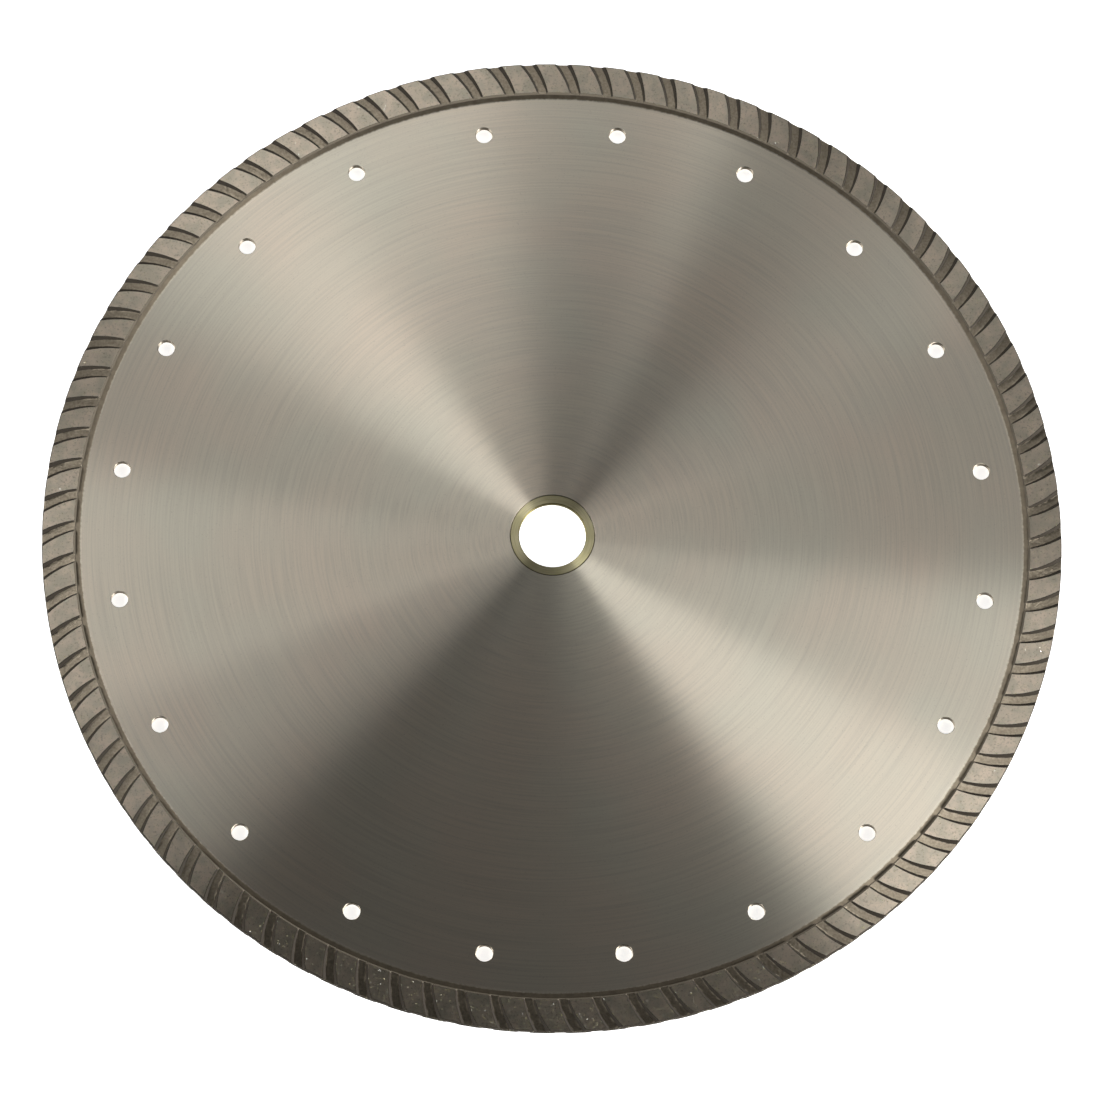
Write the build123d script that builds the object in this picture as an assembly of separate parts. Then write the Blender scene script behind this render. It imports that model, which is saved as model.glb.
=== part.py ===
"""A 12 inch turbo-rim diamond blade: a steel core, a sintered turbo rim and a reducing bush.

Millimetres. The blade lies flat: +Z is the spindle axis, and the origin is the centre of the bore at
mid-thickness, so both faces are the same distance from the origin. Angles are measured from +X
towards +Y.
"""

from build123d import *

import math
import os

# Blade
BLADE_DIAMETER = 304.8  # 12 in
CORE_THICKNESS = 2.0
RIM_THICKNESS = 3.2
RIM_HEIGHT = 10.0  # radial height of the diamond rim
RIM_EDGE_CHAMFER = 0.25  # on the cutting edge

# Core
CORE_BORE_DIAMETER = 25.4  # 1 in
CORE_EDGE_CHAMFER = 0.15
HOLE_COUNT = 20
HOLE_DIAMETER = 5.0
HOLE_CIRCLE_DIAMETER = 261.0
HOLE_START_ANGLE = 8.0
KEY_REACH = 2.5  # how far the tongue round the core's edge reaches into the rim
KEY_THICKNESS = 1.6
KEY_NOTCH_COUNT = 60
KEY_NOTCH_RADIUS = 1.2

# Reducing bush, a slip fit in the core's bore
BUSH_BORE_DIAMETER = 20.0
BUSH_THICKNESS = 1.8  # thinner than the core, so that the saw's flanges clamp the core alone
BUSH_CLEARANCE = 0.02  # radial
BUSH_CHAMFER = 0.2

# Turbo grooves, pressed into both faces and staggered by half a pitch
GROOVE_COUNT = 90  # on each face
GROOVE_START_ANGLE = 2.6  # of one groove at the middle of the rim
GROOVE_WIDTH = 3.4  # opening, square to the groove
GROOVE_FLOOR_WIDTH = 2.4
GROOVE_DEPTH_INNER = 0.4
GROOVE_DEPTH_OUTER = 0.9
GROOVE_LEAN = 23.0  # from the radius at the middle of the rim, towards increasing angle outwards
GROOVE_ARC_RADIUS = 30.0  # of the groove's centreline, which leans more towards the cutting edge
GROOVE_OVERRUN = 3.0  # how far the cutter reaches past each edge of the rim

BLADE_RADIUS = BLADE_DIAMETER / 2
RIM_INNER_RADIUS = BLADE_RADIUS - RIM_HEIGHT
RIM_MIDDLE_RADIUS = BLADE_RADIUS - RIM_HEIGHT / 2
RIM_HALF = RIM_THICKNESS / 2
RIM_SHOULDER = (RIM_THICKNESS - CORE_THICKNESS) / 2  # the rim slopes down at 45 degrees to the core
KEY_RADIUS = RIM_INNER_RADIUS + KEY_REACH
CORE_HALF = CORE_THICKNESS / 2
CORE_BORE_RADIUS = CORE_BORE_DIAMETER / 2
GROOVE_PITCH = 360 / GROOVE_COUNT


def turned(upper_half):
    """A solid turned about Z, the same above and below, from its upper half's (radius, height) points."""
    lower_half = [(radius, -height) for radius, height in reversed(upper_half)]
    outline = Polyline(*upper_half, *lower_half, close=True)
    return revolve(Plane.XZ * make_face(outline), Axis.Z)


def hole_cutter():
    """The solid that one small hole leaves empty, flared at both faces of the core."""
    radius = HOLE_DIAMETER / 2
    flare = radius + CORE_EDGE_CHAMFER
    return turned([(0, CORE_HALF), (flare, CORE_HALF), (radius, CORE_HALF - CORE_EDGE_CHAMFER)])


def steel_core():
    """The core disc, with its bore, its circle of small holes and the notched tongue that keys the rim."""
    disc = turned(
        [
            (CORE_BORE_RADIUS, CORE_HALF - CORE_EDGE_CHAMFER),
            (CORE_BORE_RADIUS + CORE_EDGE_CHAMFER, CORE_HALF),
            (RIM_INNER_RADIUS, CORE_HALF),
            (RIM_INNER_RADIUS, KEY_THICKNESS / 2),
            (KEY_RADIUS, KEY_THICKNESS / 2),
        ]
    )
    hole = hole_cutter()
    hole_places = PolarLocations(HOLE_CIRCLE_DIAMETER / 2, HOLE_COUNT, start_angle=HOLE_START_ANGLE)
    notch = Cylinder(KEY_NOTCH_RADIUS, KEY_THICKNESS)
    notch_places = PolarLocations(KEY_RADIUS, KEY_NOTCH_COUNT)
    return disc - [place * hole for place in hole_places] - [place * notch for place in notch_places]


def groove_cutter():
    """The solid that one groove of the upper face leaves empty, at angle 0.

    Its section is a flat floor between two equal sloped walls. It is swept on an arc whose centre is
    on the side of increasing angle, and tipped so that the groove gets deeper towards the cutting edge.
    """
    depth = (GROOVE_DEPTH_INNER + GROOVE_DEPTH_OUTER) / 2
    half_floor = GROOVE_FLOOR_WIDTH / 2
    wall_run = (GROOVE_WIDTH - GROOVE_FLOOR_WIDTH) / 2
    half_top = half_floor + 2 * wall_run  # the walls carry on above the face as far as they go below
    section = Polyline(
        (GROOVE_ARC_RADIUS - half_top, depth),
        (GROOVE_ARC_RADIUS - half_floor, -depth),
        (GROOVE_ARC_RADIUS + half_floor, -depth),
        (GROOVE_ARC_RADIUS + half_top, depth),
        close=True,
    )
    run = RIM_HEIGHT / math.cos(math.radians(GROOVE_LEAN))
    sweep = math.degrees((run + 2 * GROOVE_OVERRUN) / GROOVE_ARC_RADIUS)
    fall = math.degrees(math.atan((GROOVE_DEPTH_OUTER - GROOVE_DEPTH_INNER) / run))
    channel = Rot(0, 0, -sweep / 2) * revolve(Plane.XZ * make_face(section), Axis.Z, sweep)
    # Middle at the origin, running outwards along +Y, with the arc's centre towards -X.
    level = Pos(-GROOVE_ARC_RADIUS, 0, 0) * channel
    tipped = Rot(-fall, 0, 0) * level
    leaning = Rot(0, 0, GROOVE_LEAN - 90) * tipped
    return Pos(RIM_MIDDLE_RADIUS, 0, RIM_HALF) * leaning


def diamond_rim(core):
    """The sintered rim: a ring cast round the edge of the core, with turbo grooves in both faces."""
    blank = turned(
        [
            (RIM_INNER_RADIUS, RIM_HALF - RIM_SHOULDER),
            (RIM_INNER_RADIUS + RIM_SHOULDER, RIM_HALF),
            (BLADE_RADIUS - RIM_EDGE_CHAMFER, RIM_HALF),
            (BLADE_RADIUS, RIM_HALF - RIM_EDGE_CHAMFER),
        ]
    )
    upper = Rot(0, 0, GROOVE_START_ANGLE) * groove_cutter()
    lower = Rot(0, 0, GROOVE_PITCH / 2) * mirror(upper, about=Plane.XY)
    turns = [Rot(0, 0, GROOVE_PITCH * k) for k in range(GROOVE_COUNT)]
    cutters = [turn * cutter for turn in turns for cutter in (upper, lower)]
    return blank - cutters - core


def arbor_bush():
    """The ring that takes the core's 1 in bore down to a 20 mm arbor."""
    bore_radius = BUSH_BORE_DIAMETER / 2
    outer_radius = CORE_BORE_RADIUS - BUSH_CLEARANCE
    half = BUSH_THICKNESS / 2
    return turned(
        [
            (bore_radius, half - BUSH_CHAMFER),
            (bore_radius + BUSH_CHAMFER, half),
            (outer_radius - BUSH_CHAMFER, half),
            (outer_radius, half - BUSH_CHAMFER),
        ]
    )


core_solid = steel_core()
nodes = {
    "steel_core": core_solid,
    "diamond_rim": diamond_rim(core_solid),
    "arbor_bush": arbor_bush(),
}
os.makedirs("parts", exist_ok=True)
for name, shape in nodes.items():
    export_step(shape, f"parts/{name}.step")
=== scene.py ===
"""The looks of a turbo-rim diamond blade: ground steel, sintered rim and reducing bush, lit in a studio.

Metres and degrees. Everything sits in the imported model's frame: +Z is the spindle axis, and the origin is
the centre of the bore at mid-thickness. The steel core and the bush are the CAD pieces with procedural
materials. The rim is rebuilt as a finer mesh on the CAD's own section and groove arcs, with softened lips,
rough floors and diamond crystals set in it.
"""

import math

import bpy
import numpy as np
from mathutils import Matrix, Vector


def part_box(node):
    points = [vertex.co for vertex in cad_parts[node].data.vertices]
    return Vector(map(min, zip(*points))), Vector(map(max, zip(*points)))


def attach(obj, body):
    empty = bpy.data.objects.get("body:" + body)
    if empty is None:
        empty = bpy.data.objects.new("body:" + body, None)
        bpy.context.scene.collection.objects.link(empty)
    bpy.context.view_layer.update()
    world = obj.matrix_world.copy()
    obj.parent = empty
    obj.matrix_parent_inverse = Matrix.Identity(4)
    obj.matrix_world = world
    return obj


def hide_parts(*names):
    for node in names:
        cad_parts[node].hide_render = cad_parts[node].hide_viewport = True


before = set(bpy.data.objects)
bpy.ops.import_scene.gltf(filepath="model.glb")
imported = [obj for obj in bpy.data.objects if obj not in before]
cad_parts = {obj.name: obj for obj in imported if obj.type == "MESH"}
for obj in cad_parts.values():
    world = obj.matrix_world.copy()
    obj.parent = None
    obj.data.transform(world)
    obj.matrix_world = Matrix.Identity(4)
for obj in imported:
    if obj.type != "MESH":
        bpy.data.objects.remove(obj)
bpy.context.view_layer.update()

MM = 0.001

# Sizes taken from the CAD pieces
BLADE_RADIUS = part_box("diamond_rim")[1].x
RIM_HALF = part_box("diamond_rim")[1].z
CORE_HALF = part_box("steel_core")[1].z

# The rim's section and its grooves, as in the CAD model
RIM_HEIGHT = 10 * MM
RIM_INNER_RADIUS = BLADE_RADIUS - RIM_HEIGHT
SHOULDER = RIM_HALF - CORE_HALF  # a 45 degree slope down to the core
SHOULDER_TOP = RIM_INNER_RADIUS + SHOULDER
EDGE_CHAMFER = 0.25 * MM
CHAMFER_START = BLADE_RADIUS - EDGE_CHAMFER
TONGUE_RADIUS = RIM_INNER_RADIUS + 2.5 * MM  # the core's hidden tongue, which the rim is cast round
TONGUE_HALF = 0.8 * MM
GROOVE_COUNT = 90  # on each face
GROOVE_PITCH = 360 / GROOVE_COUNT
UPPER_START = 2.6  # angle of one groove of the upper face, at the middle of the rim
LOWER_START = UPPER_START + GROOVE_PITCH / 2
GROOVE_LEAN = 23.0
GROOVE_ARC = 30 * MM
FLOOR_HALF_WIDTH = 1.2 * MM
WALL_RUN_PER_DEPTH = 0.5 / 0.65
DEPTH_INNER = 0.4 * MM
DEPTH_OUTER = 0.9 * MM

# The rim's finer mesh
BOND_RELIEF = 0.06 * MM  # how far the bond is worn below the crystals' tips
FLOOR_STATIONS = (-0.9, -0.45, 0.0, 0.45, 0.9)  # across a groove, in half widths of its floor
LIP_SHARE = 1.45  # where the softened lip meets the pad, as a share of the wall's run
WALL_STATIONS = ((0.0, 0.95), (0.5, 0.54), (1.0, 0.11), (LIP_SHARE, 0.0))  # shares of run and of depth
PAD_STATIONS = 9
FACE_ROWS = 16
OUTER_ROWS = 4
SHARP_FROM = 14.0  # degrees between two faces: sharper edges, such as a groove's lip, aren't smoothed
PAD_ROUGHNESS = 0.008 * MM
FLOOR_ROUGHNESS = 0.03 * MM
SEED = 11

# Diamond crystals
FACE_CRYSTALS = 2600  # on each face
EDGE_CRYSTALS = 900
CRYSTAL_RADIUS = (0.11 * MM, 0.19 * MM)
CRYSTAL_SINK = 0.035 * MM  # the deepest tip, below the CAD surface

# Finish
# The slope mask also darkens colour: painted shade on the rim's groove walls and the bush's chamfers and
# bore, and partly on the core's cut edges.
SLOPE_BELOW = 0.985  # upright part of a face's direction: below this it was never ground
LEVEL_ABOVE = 0.998  # and above this it was ground flat
GRINDING_SPREAD = 0.96  # anisotropy of what was ground while it turned
QUARTER_TURN = 0.25
BAND_RADIUS = 140.9 * MM  # the core's unground band runs from here to the rim
BAND_FADE = 0.6 * MM
GRAIN_HEIGHT = 0.10 * MM  # of the sintered bond
UNGROUND_BELOW = 0.20 * MM  # depth under the rim's faces from which the bond is as pressed
GROUND_ABOVE = 0.07 * MM

# Noise, in features per metre
TINT_DRIFT = 22.0
BUSH_STAIN = 160.0
PAD_PATCHES = 260.0
SCALE_BLOTCHES = 700.0
RAGGED_EDGE = 900.0
CRYSTAL_TINT = 1200.0
BOND_GRAIN = 1500.0
STEEL_SPECKLE = 2600.0

# Grinding lines: features per radian round the axis, and per metre outwards
STEEL_LINES = (3.0, 1900.0)
BUSH_LINES = (2.0, 3500.0)

# Camera, in blade radii and degrees
CAMERA_PLACE = Vector((-0.295, -3.754, 11.157))
CAMERA_TURN = (18.486, -1.076, -1.229)
CAMERA_LENS = 196.37  # mm
SENSOR_WIDTH = 36.0  # mm
CAMERA_SIGHT = 20.0  # metres

# Softboxes that face the blade's centre: azimuth from +X and zenith angle in degrees, then the distance,
# half width and half height in blade radii, and the radiance
SOFTBOXES = {
    "key_right": (330, 72, 9.0, 2.2, 0.60, 98.0),
    "fill_right": (358, 64, 9.0, 2.0, 0.70, 33.0),
    "long_left": (168, 70, 9.0, 2.4, 0.70, 36.0),
    "fill_left": (188, 60, 9.0, 1.2, 0.70, 15.0),
    "low_left": (205, 72, 5.0, 0.7, 0.35, 21.0),
    "back": (92, 50, 2.5, 0.7, 0.20, 2.4),
    "back_left": (104, 38, 2.5, 0.35, 0.20, 1.9),
    "back_right": (60, 45, 2.5, 0.5, 0.20, 1.5),
}
WORLD_RADIANCE = 0.03
FLOOR_GLOW = 0.75
FLOOR_REACH = 4.0
FLOOR_GAP = 0.05 * MM
WHITE = (1.0, 1.0, 1.0)
PALE = (0.92, 0.92, 0.92)

# Input and output sockets of the colour form of a Mix node
MIX_SHARE = 0
MIX_COLOUR_A = 6
MIX_COLOUR_B = 7
MIX_COLOUR_OUT = 2


class Shader:
    """A material's node tree, with short ways to add nodes and join them."""

    def __init__(self, name):
        self.material = bpy.data.materials.new(name)
        self.material.use_nodes = True
        self.tree = self.material.node_tree
        self.tree.nodes.clear()
        self.surface = self.tree.nodes.new("ShaderNodeBsdfPrincipled")
        output = self.tree.nodes.new("ShaderNodeOutputMaterial")
        self.tree.links.new(self.surface.outputs[0], output.inputs["Surface"])

    def feed(self, socket, value):
        """Links a socket to another, or sets it to a value. A colour gets full alpha."""
        if isinstance(value, bpy.types.NodeSocket):
            self.tree.links.new(value, socket)
        elif isinstance(value, tuple):
            socket.default_value = (*value, 1.0)[: len(socket.default_value)]
        else:
            socket.default_value = value

    def node(self, kind, **inputs):
        """Adds a node. Its inputs are named by their labels, with _ for a space."""
        made = self.tree.nodes.new("ShaderNode" + kind)
        for label, value in inputs.items():
            self.feed(made.inputs[label.replace("_", " ")], value)
        return made

    def math(self, operation, *values):
        made = self.tree.nodes.new("ShaderNodeMath")
        made.operation = operation
        for socket, value in zip(made.inputs, values):
            self.feed(socket, value)
        return made.outputs[0]

    def ramp(self, value, low, high, start=0.0, end=1.0):
        """Goes from start to end as value goes from low to high, and stays there on both sides."""
        made = self.node("MapRange", Value=value, From_Min=low, From_Max=high, To_Min=start, To_Max=end)
        return made.outputs[0]

    def fade(self, share, first, second):
        """A number that goes from first to second as share goes from 0 to 1."""
        return self.ramp(share, low=0.0, high=1.0, start=first, end=second)

    def blend(self, share, first, second):
        """A colour that goes from first to second as share goes from 0 to 1."""
        made = self.tree.nodes.new("ShaderNodeMix")
        made.data_type = "RGBA"
        self.feed(made.inputs[MIX_SHARE], share)
        self.feed(made.inputs[MIX_COLOUR_A], first)
        self.feed(made.inputs[MIX_COLOUR_B], second)
        return made.outputs[MIX_COLOUR_OUT]

    def noise(self, place, scale, detail=2.0):
        made = self.node("TexNoise", Vector=place, Scale=scale, Detail=detail)
        return made.outputs["Fac"]

    def bump(self, height, distance, strength):
        made = self.node("Bump", Height=height, Distance=distance, Strength=strength)
        self.feed(self.surface.inputs["Normal"], made.outputs[0])

    def finish(self, **inputs):
        """Sets the surface's own inputs and returns the material."""
        for label, value in inputs.items():
            self.feed(self.surface.inputs[label.replace("_", " ")], value)
        return self.material


class TurnedShader(Shader):
    """A material for something ground while it turns: it knows the radius and draws along circles."""

    def __init__(self, name):
        super().__init__(name)
        self.place = self.node("TexCoord").outputs["Object"]
        x, y, self.height = self.node("SeparateXYZ", Vector=self.place).outputs
        across = self.math("MULTIPLY", x, x)
        along = self.math("MULTIPLY", y, y)
        self.radius = self.math("SQRT", self.math("ADD", across, along))
        self.cosine = self.math("DIVIDE", x, self.radius)
        self.sine = self.math("DIVIDE", y, self.radius)
        direction = self.node("SeparateXYZ", Vector=self.node("TexCoord").outputs["Normal"])
        upright = self.math("ABSOLUTE", direction.outputs["Z"])
        self.level = self.ramp(upright, SLOPE_BELOW, LEVEL_ABOVE)
        self.spin_ground()

    def ring_noise(self, around, outwards, detail=2.0):
        """Noise drawn out along circles, with its frequency per radian around and per metre outwards."""
        place = self.node(
            "CombineXYZ",
            X=self.math("MULTIPLY", self.cosine, around),
            Y=self.math("MULTIPLY", self.sine, around),
            Z=self.math("MULTIPLY", self.radius, outwards),
        )
        return self.noise(place.outputs[0], 1.0, detail)

    def spin_ground(self):
        """Grinding lines run round the axis, so reflections spread along the radius."""
        tangent = self.node("Tangent")
        tangent.direction_type = "RADIAL"
        tangent.axis = "Z"
        self.feed(self.surface.inputs["Tangent"], tangent.outputs[0])
        self.feed(self.surface.inputs["Anisotropic"], GRINDING_SPREAD)
        self.feed(self.surface.inputs["Anisotropic Rotation"], QUARTER_TURN)


def ground_steel():
    """The core: bright spin-ground steel, dull on its cut edges and in an unground band beside the rim. The
    cut edges' darker colour is partly their as-cut tone and partly painted shade on the bore and hole walls.
    """
    warm = (0.82, 0.715, 0.585)
    cool = (0.765, 0.72, 0.595)
    line = (0.60, 0.55, 0.46)
    speck = (0.45, 0.40, 0.33)
    cut_edge_and_shade = (0.30, 0.265, 0.21)
    dark_scale = (0.13, 0.108, 0.078)
    light_scale = (0.27, 0.226, 0.165)

    shader = TurnedShader("ground_steel")
    lines = shader.ring_noise(*STEEL_LINES, detail=3.0)
    drift = shader.noise(shader.place, TINT_DRIFT)
    speckle = shader.noise(shader.place, STEEL_SPECKLE)
    steel = shader.blend(shader.ramp(drift, low=0.35, high=0.65), warm, cool)
    lined = shader.blend(shader.ramp(lines, low=0.40, high=0.85, end=0.65), steel, line)
    specked = shader.blend(shader.ramp(speckle, low=0.62, high=0.80, end=0.5), lined, speck)
    # Slopes take the cut-edge colour: partly the as-cut tone, partly painted shade that keeps the bore and
    # hole walls dark.
    faced = shader.blend(shader.level, cut_edge_and_shade, specked)

    unevenness = shader.noise(shader.place, RAGGED_EDGE)
    ragged = shader.math("MULTIPLY_ADD", unevenness, BAND_FADE, shader.radius)
    band = shader.ramp(ragged, low=BAND_RADIUS, high=BAND_RADIUS + BAND_FADE)
    scale = shader.blend(shader.noise(shader.place, SCALE_BLOTCHES, detail=3.0), dark_scale, light_scale)
    bright = shader.math("SUBTRACT", shader.level, band)

    shader.bump(lines, distance=0.004 * MM, strength=0.35)
    return shader.finish(
        Base_Color=shader.blend(band, faced, scale),
        Metallic=shader.fade(band, 1.0, 0.92),
        Roughness=shader.fade(bright, 0.55, 0.33),
    )


def bush_metal():
    """The bush: yellow-passivated steel, faced on the lathe, with painted shade that darkens its chamfers
    and its bore.
    """
    yellow = (0.72, 0.65, 0.42)
    ochre = (0.62, 0.57, 0.32)
    line = (0.42, 0.37, 0.19)
    # The slope colour is painted shade for the chamfers and the bore.
    slope = (0.16, 0.14, 0.06)

    shader = TurnedShader("bush_metal")
    lines = shader.ring_noise(*BUSH_LINES)
    stain = shader.noise(shader.place, BUSH_STAIN, detail=3.0)
    stained = shader.blend(shader.ramp(stain, low=0.35, high=0.7), yellow, ochre)
    lined = shader.blend(shader.ramp(lines, low=0.35, high=0.8, end=0.6), stained, line)
    shader.bump(lines, distance=0.006 * MM, strength=0.5)
    return shader.finish(
        # Painted shade on the chamfers and in the bore, where the faces aren't level.
        Base_Color=shader.blend(shader.level, slope, lined),
        Metallic=1.0,
        Roughness=shader.fade(shader.level, 0.55, 0.34),
    )


def sintered_bond():
    """The rim: ground flat on the pads, granular as pressed on the groove floors, dark on every slope. The
    shoulder's dark tone is unground bond; the near-black groove walls and the floors' darkening with depth
    are painted shade.
    """
    light_pad = (0.68, 0.575, 0.46)
    dark_pad = (0.515, 0.465, 0.37)
    pit = (0.26, 0.22, 0.165)
    light_floor = (0.50, 0.425, 0.32)
    dark_floor = (0.295, 0.25, 0.185)
    # Painted shade for the deepest groove floors.
    deep_floor_shade = (0.22, 0.187, 0.14)
    shoulder = (0.10, 0.086, 0.066)
    # Near-black painted shade on the groove walls.
    wall_shade = (0.032, 0.027, 0.021)

    shader = TurnedShader("sintered_bond")
    grain = shader.noise(shader.place, BOND_GRAIN, detail=4.0)
    patch = shader.noise(shader.place, PAD_PATCHES, detail=3.0)
    height = shader.math("ABSOLUTE", shader.height)
    raised = shader.math("MULTIPLY_ADD", grain, GRAIN_HEIGHT, height)
    top = shader.ramp(raised, low=RIM_HALF - UNGROUND_BELOW, high=RIM_HALF - GROUND_ABOVE)
    ground = shader.math("MULTIPLY", top, shader.level)

    pad = shader.blend(shader.ramp(patch, low=0.35, high=0.65), light_pad, dark_pad)
    pitted = shader.blend(shader.ramp(grain, low=0.55, high=0.75, end=0.75), pad, pit)
    grained = shader.blend(shader.ramp(grain, low=0.35, high=0.7), light_floor, dark_floor)
    # The floors darken with the groove's depth, towards the cutting edge: painted shade.
    shallow = shader.ramp(height, low=RIM_HALF - DEPTH_OUTER, high=RIM_HALF - DEPTH_INNER, start=0.6)
    floor = shader.blend(shallow, deep_floor_shade, grained)
    past_shoulder = shader.ramp(shader.radius, low=SHOULDER_TOP, high=SHOULDER_TOP + SHOULDER / 4)
    # Slopes: the shoulder's own unground tone, then painted shade on the groove walls.
    slope = shader.blend(past_shoulder, shoulder, wall_shade)
    pressed_and_shade = shader.blend(shader.level, slope, floor)

    shader.bump(grain, distance=GRAIN_HEIGHT, strength=shader.fade(ground, 1.0, 0.12))
    return shader.finish(
        Base_Color=shader.blend(ground, pressed_and_shade, pitted),
        Metallic=shader.fade(shader.level, 0.0, 0.985),
        Roughness=shader.fade(shader.level, 0.7, 0.33),
        Specular_IOR_Level=0.05,
    )


def diamond_grit():
    """Synthetic diamond: hard yellow-green crystals with bright facets."""
    yellow = (0.50, 0.45, 0.22)
    green = (0.34, 0.33, 0.20)

    shader = Shader("diamond_grit")
    tint = shader.noise(shader.node("TexCoord").outputs["Object"], CRYSTAL_TINT, detail=1.0)
    colour = shader.blend(shader.ramp(tint, low=0.4, high=0.6), yellow, green)
    return shader.finish(Base_Color=colour, Roughness=0.14, IOR=2.4)


def pale_floor():
    """A plain pale table. It glows a little, so that it stays white under the low lights."""
    shader = Shader("pale_floor")
    return shader.finish(
        Base_Color=PALE, Roughness=0.9, Emission_Color=WHITE, Emission_Strength=FLOOR_GLOW
    )


def dress(piece, material):
    """Gives the whole piece one material."""
    piece.data.materials.clear()
    piece.data.materials.append(material)


def new_piece(name, points, faces):
    """A mesh object in the scene, from points and faces."""
    mesh = bpy.data.meshes.new(name)
    mesh.from_pydata(points, [], faces)
    mesh.validate()
    piece = bpy.data.objects.new(name, mesh)
    bpy.context.scene.collection.objects.link(piece)
    return piece


def groove_angle(radius, offset):
    """The angle, from a groove's own angle, of the line that keeps an offset from its centreline."""
    lean = math.radians(GROOVE_LEAN)
    middle = BLADE_RADIUS - RIM_HEIGHT / 2
    centre_x = middle - GROOVE_ARC * math.sin(lean)
    centre_y = GROOVE_ARC * math.cos(lean)
    reach = math.hypot(centre_x, centre_y)
    arc = GROOVE_ARC - offset
    cosine = (reach**2 + radius**2 - arc**2) / (2 * reach * radius)
    return math.degrees(math.atan2(centre_y, centre_x) - math.acos(cosine))


def groove_depth(radius):
    """The groove gets deeper towards the cutting edge."""
    share = (radius - RIM_INNER_RADIUS) / (BLADE_RADIUS - RIM_INNER_RADIUS)
    return DEPTH_INNER + (DEPTH_OUTER - DEPTH_INNER) * share


def pitch_section(radius):
    """One pitch of a face at a radius: the stations' angles, and how far each lies below the pads."""
    depth = groove_depth(radius)
    run = WALL_RUN_PER_DEPTH * depth
    walls = [(FLOOR_HALF_WIDTH + share * run, depth * fall) for share, fall in WALL_STATIONS]
    floor = [(share * FLOOR_HALF_WIDTH, depth) for share in FLOOR_STATIONS]
    groove = [(-offset, fall) for offset, fall in reversed(walls)] + floor + walls
    angles = [groove_angle(radius, offset) for offset, fall in groove]
    falls = [fall for offset, fall in groove]
    gap = angles[0] + GROOVE_PITCH - angles[-1]
    steps = range(1, PAD_STATIONS + 1)
    angles += [angles[-1] + gap * step / (PAD_STATIONS + 1) for step in steps]
    falls += [0.0] * PAD_STATIONS
    return np.array(angles), np.array(falls)


def face_limit(radius):
    """The height of the rim's section at a radius, without grooves."""
    slope = CORE_HALF + (radius - RIM_INNER_RADIUS)
    chamfer = RIM_HALF - EDGE_CHAMFER + (BLADE_RADIUS - radius)
    return min(RIM_HALF, slope, chamfer)


def face_row(radius, start, random):
    """A closed row of (angle, radius, height) round the upper face, with its first groove at start."""
    angles, falls = pitch_section(radius)
    turns = GROOVE_PITCH * np.arange(GROOVE_COUNT)
    angle = (start + turns[:, None] + angles[None, :]).ravel()
    fall = np.tile(falls, GROOVE_COUNT)
    pad_height = RIM_HALF - BOND_RELIEF
    limit = face_limit(radius)
    top = limit if limit < RIM_HALF else pad_height
    in_groove = fall > groove_depth(radius) / 2
    rough = np.where(in_groove, FLOOR_ROUGHNESS, PAD_ROUGHNESS)
    height = np.minimum(pad_height - fall, top) - rough * random.random(fall.size)
    return np.stack([angle, np.full(angle.size, radius), height], axis=1)


def lower_row(radius, random):
    """A row round the lower face. Its grooves are staggered, so it is turned back to the upper's columns."""
    row = face_row(radius, LOWER_START, random)
    half_pitch = row.shape[0] // GROOVE_COUNT // 2
    row = np.roll(row, half_pitch, axis=0)
    row[:half_pitch, 0] -= 360
    row[:, 2] *= -1
    return row


def between(first, second, steps):
    """Rows between two rows, which are left out."""
    shares = [step / (steps + 1) for step in range(1, steps + 1)]
    return [first + (second - first) * share for share in shares]


def inside_rows(columns):
    """The slot that takes the core's tongue, from the upper face round to the lower."""
    corners = [(RIM_INNER_RADIUS, TONGUE_HALF), (TONGUE_RADIUS, TONGUE_HALF)]
    corners += [(radius, -height) for radius, height in reversed(corners)]
    rows = []
    for radius, height in corners:
        row = columns.copy()
        row[:, 1] = radius
        row[:, 2] = height
        rows.append(row)
    return rows


def rim_rows():
    """The rows of the rim's closed section, in order round it: upper face, edge, lower face, inside."""
    random = np.random.default_rng(SEED)
    radii = [RIM_INNER_RADIUS, RIM_INNER_RADIUS + SHOULDER / 2, SHOULDER_TOP]
    radii += list(np.linspace(SHOULDER_TOP, CHAMFER_START, FACE_ROWS + 1)[1:])
    radii += [BLADE_RADIUS - EDGE_CHAMFER / 2, BLADE_RADIUS - BOND_RELIEF / 2]
    upper = [face_row(radius, UPPER_START, random) for radius in radii]
    lower = [lower_row(radius, random) for radius in radii]
    edge = between(upper[-1], lower[-1], OUTER_ROWS)
    for row in edge:
        row[:, 1] -= BOND_RELIEF * (0.5 + 0.5 * random.random(row.shape[0]))  # worn by half of it or more
    return upper + edge + lower[::-1] + inside_rows(lower[0])[::-1]


def rim_mesh():
    """The rim: a closed mesh of quads, with a row of points at each place round its section."""
    rows = rim_rows()
    columns = rows[0].shape[0]
    table = np.concatenate(rows)
    angle = np.radians(table[:, 0])
    points = np.stack([table[:, 1] * np.cos(angle), table[:, 1] * np.sin(angle), table[:, 2]], axis=1)
    faces = []
    for row in range(len(rows)):
        here = row * columns
        there = (row + 1) % len(rows) * columns
        for column in range(columns):
            following = (column + 1) % columns
            faces.append((here + column, there + column, there + following, here + following))
    rim = new_piece("turbo_rim", points.tolist(), faces)
    rim.data.shade_smooth()
    rim.data.set_sharp_from_angle(angle=math.radians(SHARP_FROM))
    return rim


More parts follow.
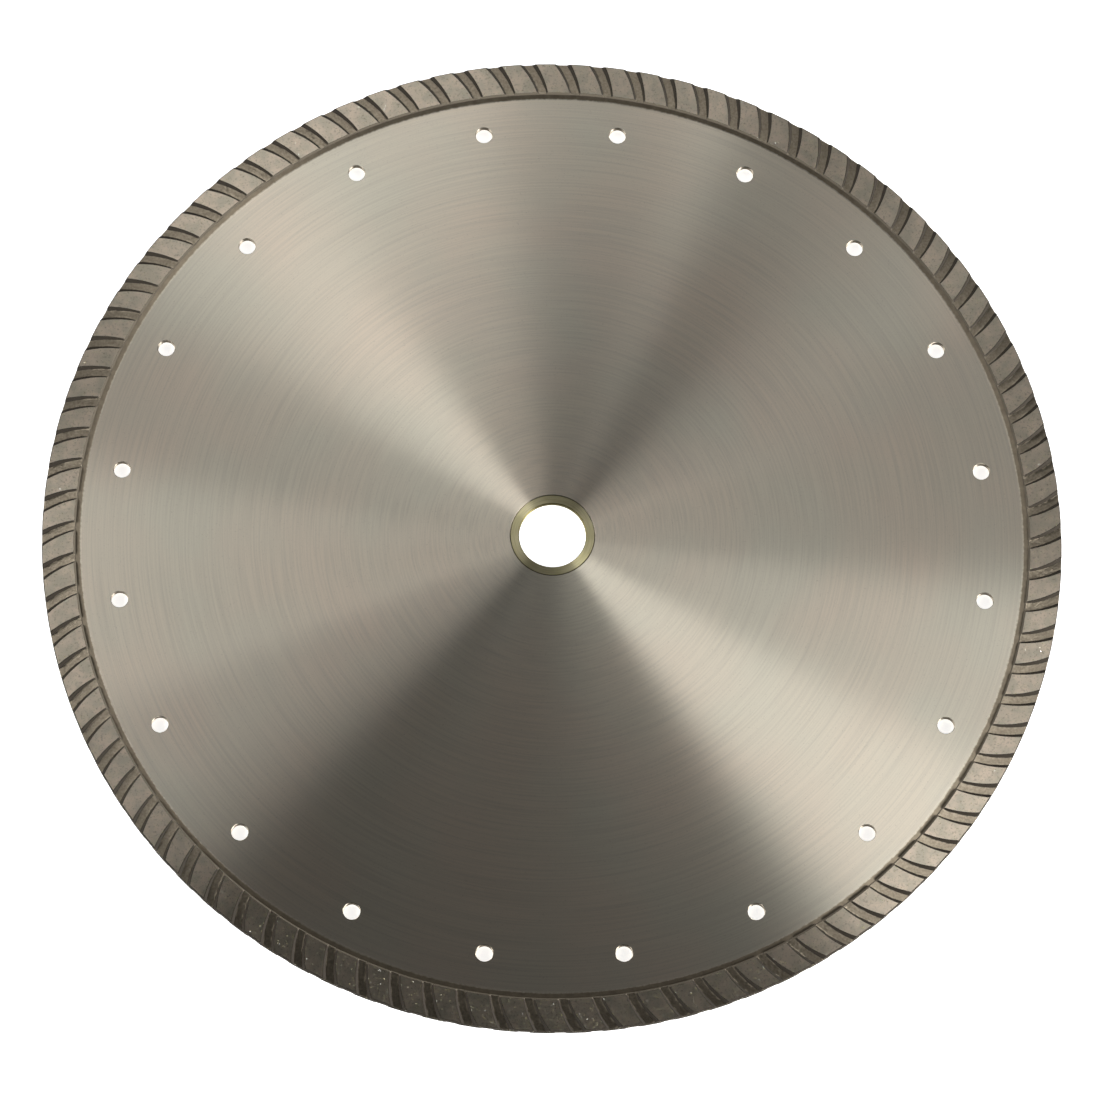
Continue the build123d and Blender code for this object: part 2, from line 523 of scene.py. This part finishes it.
def crystal_form():
    """A cuboctahedron of radius 1: its twelve corners, and its faces wound outwards."""
    signs = (-1, 1)
    corners = [(a, b, 0) for a in signs for b in signs]
    corners += [(a, 0, b) for a in signs for b in signs]
    corners += [(0, a, b) for a in signs for b in signs]
    corners = np.array(corners, float) / math.sqrt(2)
    axes = [sign * np.eye(3)[axis] for axis in range(3) for sign in signs]
    axes += [np.array((a, b, c)) / math.sqrt(3) for a in signs for b in signs for c in signs]
    faces = []
    for axis in axes:
        reach = corners @ axis
        members = np.flatnonzero(np.isclose(reach, reach.max()))
        side = corners[members[0]] - axis * reach[members[0]]
        other = np.cross(axis, side)
        turn = np.arctan2(corners[members] @ other, corners[members] @ side)
        faces.append(members[np.argsort(turn)])
    return corners, faces


def random_turns(random, count):
    """Rotation matrices, evenly spread, from random unit quaternions."""
    quaternion = random.normal(size=(count, 4))
    w, x, y, z = (quaternion / np.linalg.norm(quaternion, axis=1)[:, None]).T
    rows = [
        [1 - 2 * (y * y + z * z), 2 * (x * y - z * w), 2 * (x * z + y * w)],
        [2 * (x * y + z * w), 1 - 2 * (x * x + z * z), 2 * (y * z - x * w)],
        [2 * (x * z - y * w), 2 * (y * z + x * w), 1 - 2 * (x * x + y * y)],
    ]
    return np.moveaxis(np.array(rows), 2, 0)


def loose_crystals(random, count, corners):
    """Crystals about the origin, of random size and turned at random: their radii and their corners."""
    sizes = random.uniform(*CRYSTAL_RADIUS, count)
    shapes = np.einsum("nij,kj->nki", random_turns(random, count), corners) * sizes[:, None, None]
    return sizes, shapes


def move_out(shapes, radius, angle):
    """Moves each crystal away from the axis, to its own radius and angle in radians."""
    shapes[:, :, 0] += (radius * np.cos(angle))[:, None]
    shapes[:, :, 1] += (radius * np.sin(angle))[:, None]


def pad_places(random, start):
    """Random places on the pads of one face: their angles in radians, and their radii."""
    inner = SHOULDER_TOP + CRYSTAL_RADIUS[1]
    outer = CHAMFER_START - CRYSTAL_RADIUS[1]
    angles = []
    radii = []
    for _ in range(FACE_CRYSTALS):
        radius = random.uniform(inner, outer)
        lip = FLOOR_HALF_WIDTH + LIP_SHARE * WALL_RUN_PER_DEPTH * groove_depth(radius)
        first = groove_angle(radius, lip)
        last = groove_angle(radius, -lip) + GROOVE_PITCH
        angle = start + GROOVE_PITCH * random.integers(GROOVE_COUNT) + random.uniform(first, last)
        angles.append(math.radians(angle))
        radii.append(radius)
    return np.array(angles), np.array(radii)


def face_crystals(random, corners, side, start):
    """Crystals on one face, side +1 or -1. Each one's outermost tip stands just below the CAD face."""
    angle, radius = pad_places(random, start)
    _, shapes = loose_crystals(random, FACE_CRYSTALS, corners)
    tips = (side * shapes[:, :, 2]).max(axis=1)
    sink = random.uniform(0, CRYSTAL_SINK, FACE_CRYSTALS)
    move_out(shapes, radius, angle)
    shapes[:, :, 2] += (side * (RIM_HALF - sink - tips))[:, None]
    return shapes


def edge_crystals(random, corners):
    """Crystals on the cutting edge, clear of both faces' grooves and just inside the CAD edge."""
    sizes, shapes = loose_crystals(random, EDGE_CRYSTALS, corners)
    sink = random.uniform(0, CRYSTAL_SINK, EDGE_CRYSTALS)
    angle = random.uniform(0, math.tau, EDGE_CRYSTALS)
    move_out(shapes, BLADE_RADIUS - sink - sizes, angle)
    free_half = RIM_HALF - DEPTH_OUTER - CRYSTAL_RADIUS[1]
    shapes[:, :, 2] += random.uniform(-free_half, free_half, EDGE_CRYSTALS)[:, None]
    return shapes


def crystal_mesh():
    """All the crystals, as one mesh of closed shapes."""
    random = np.random.default_rng(SEED + 1)
    corners, form_faces = crystal_form()
    upper = face_crystals(random, corners, 1, UPPER_START)
    lower = face_crystals(random, corners, -1, LOWER_START)
    edge = edge_crystals(random, corners)
    shapes = np.concatenate([upper, lower, edge])
    faces = []
    for number in range(len(shapes)):
        faces += [(number * len(corners) + members).tolist() for members in form_faces]
    return new_piece("diamond_crystals", shapes.reshape(-1, 3).tolist(), faces)


def add_camera():
    data = bpy.data.cameras.new("camera")
    data.lens = CAMERA_LENS
    data.sensor_width = SENSOR_WIDTH
    data.clip_end = CAMERA_SIGHT
    camera = bpy.data.objects.new("camera", data)
    camera.location = CAMERA_PLACE * BLADE_RADIUS
    camera.rotation_euler = [math.radians(angle) for angle in CAMERA_TURN]
    bpy.context.scene.collection.objects.link(camera)
    bpy.context.scene.camera = camera


def add_floor():
    """A table that the blade lies on. The gap keeps it just clear of the rim."""
    level = -RIM_HALF - FLOOR_GAP
    corners = [(-1, -1), (1, -1), (1, 1), (-1, 1)]
    points = [(x * FLOOR_REACH, y * FLOOR_REACH, level) for x, y in corners]
    floor = new_piece("floor", points, [(0, 1, 2, 3)])
    dress(floor, pale_floor())


def add_softbox(name, azimuth, zenith, distance, half_width, half_height, radiance):
    """A rectangular light that faces the blade's centre."""
    data = bpy.data.lights.new(name, "AREA")
    data.shape = "RECTANGLE"
    data.size = 2 * half_width * BLADE_RADIUS
    data.size_y = 2 * half_height * BLADE_RADIUS
    data.energy = radiance * math.pi * data.size * data.size_y
    light = bpy.data.objects.new(name, data)
    bearing = math.radians(azimuth)
    tilt = math.radians(zenith)
    away = Vector((math.sin(tilt) * math.cos(bearing), math.sin(tilt) * math.sin(bearing), math.cos(tilt)))
    light.location = away * distance * BLADE_RADIUS
    light.rotation_euler = away.to_track_quat("Z", "Y").to_euler()
    light.visible_camera = False
    bpy.context.scene.collection.objects.link(light)


def add_world():
    world = bpy.data.worlds.new("studio")
    world.use_nodes = True
    background = world.node_tree.nodes["Background"]
    background.inputs["Color"].default_value = (*WHITE, 1.0)
    background.inputs["Strength"].default_value = WORLD_RADIANCE
    bpy.context.scene.world = world


add_camera()
add_floor()
add_world()
for name, values in SOFTBOXES.items():
    add_softbox(name, *values)
bpy.context.scene.view_settings.view_transform = "Standard"

dress(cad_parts["steel_core"], ground_steel())
dress(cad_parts["arbor_bush"], bush_metal())

rim = rim_mesh()
dress(rim, sintered_bond())
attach(rim, "blade")
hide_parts("diamond_rim")

crystals = crystal_mesh()
dress(crystals, diamond_grit())
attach(crystals, "blade")
